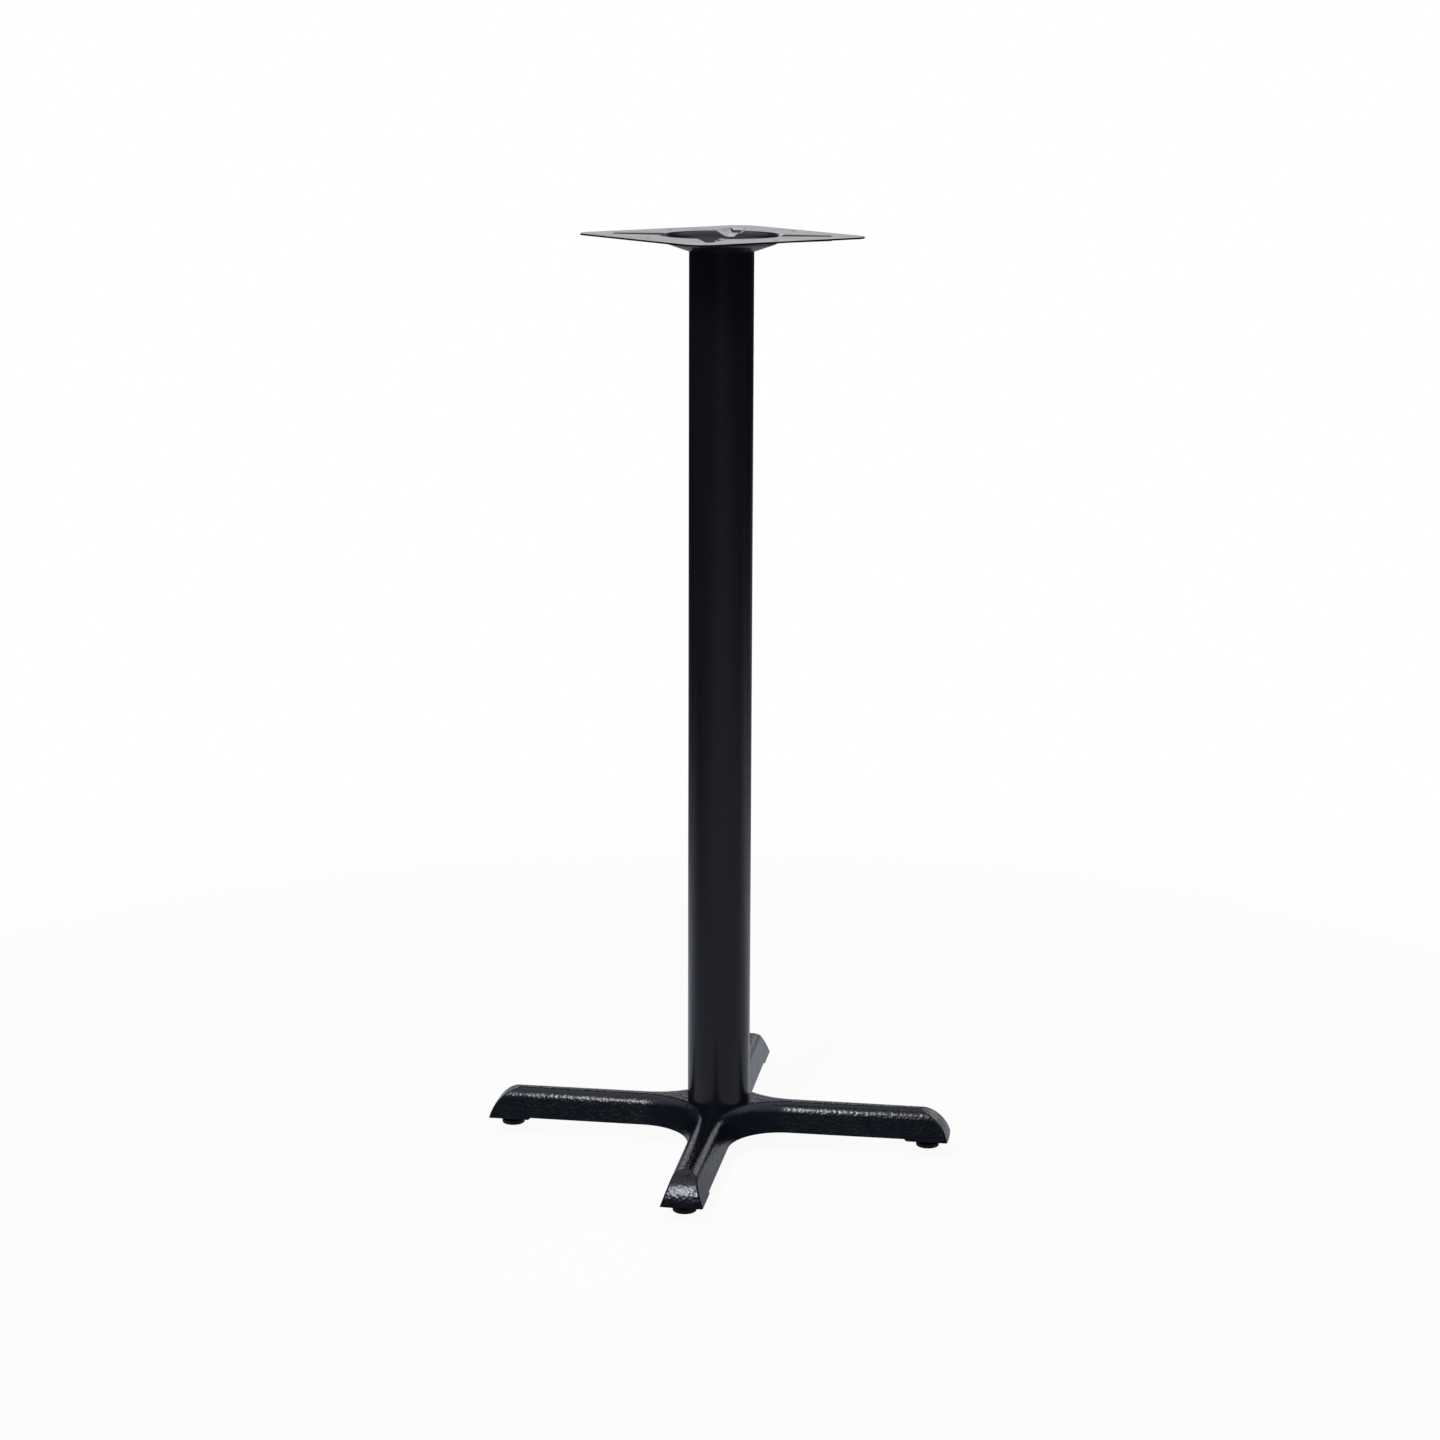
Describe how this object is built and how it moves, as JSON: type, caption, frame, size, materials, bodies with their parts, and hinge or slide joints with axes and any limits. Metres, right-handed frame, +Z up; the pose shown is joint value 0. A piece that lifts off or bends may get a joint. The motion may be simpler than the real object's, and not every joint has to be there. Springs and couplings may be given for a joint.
{
  "type": "bistro table base",
  "caption": "Tall bistro table base: black cast cross foot with levelling glides, round steel column and a pressed square plate that carries the table top.",
  "frame": {"origin": "on the floor, under the column's axis", "axes": "+Z up along the column; the plate's sides lie along X and Y and the legs on the diagonals"},
  "size_m": [0.4362, 0.4362, 1.1],
  "materials": {
    "cast_black": "black hammered gloss coat on a sand casting",
    "column_black": "satin black powder coat",
    "plate_black": "satin black powder coat on pressed sheet",
    "zinc_steel": "bright zinc plate",
    "glide_plastic": "black moulded plastic"
  },
  "bodies": {
    "stand": {"cross_base": "cast_black", "column_tube": "column_black", "top_plate": "plate_black", "tie_rod": "zinc_steel", "top_washer": "zinc_steel", "top_spring_washer": "zinc_steel", "top_nut": "zinc_steel", "base_washer": "zinc_steel", "base_spring_washer": "zinc_steel", "base_nut": "zinc_steel"},
    "glide_front_left": {"glide_foot_front_left": "glide_plastic", "glide_stud_front_left": "zinc_steel"},
    "glide_front_right": {"glide_foot_front_right": "glide_plastic", "glide_stud_front_right": "zinc_steel"},
    "glide_back_left": {"glide_foot_back_left": "glide_plastic", "glide_stud_back_left": "zinc_steel"},
    "glide_back_right": {"glide_foot_back_right": "glide_plastic", "glide_stud_back_right": "zinc_steel"}
  },
  "joints": [
    {"name": "glide_front_left_level", "type": "slide", "parent": "stand", "child": "glide_front_left", "axis": [0, 0, -1], "range_m": [0, 0.01]},
    {"name": "glide_front_right_level", "type": "slide", "parent": "stand", "child": "glide_front_right", "axis": [0, 0, -1], "range_m": [0, 0.01]},
    {"name": "glide_back_left_level", "type": "slide", "parent": "stand", "child": "glide_back_left", "axis": [0, 0, -1], "range_m": [0, 0.01]},
    {"name": "glide_back_right_level", "type": "slide", "parent": "stand", "child": "glide_back_right", "axis": [0, 0, -1], "range_m": [0, 0.01]}
  ]
}
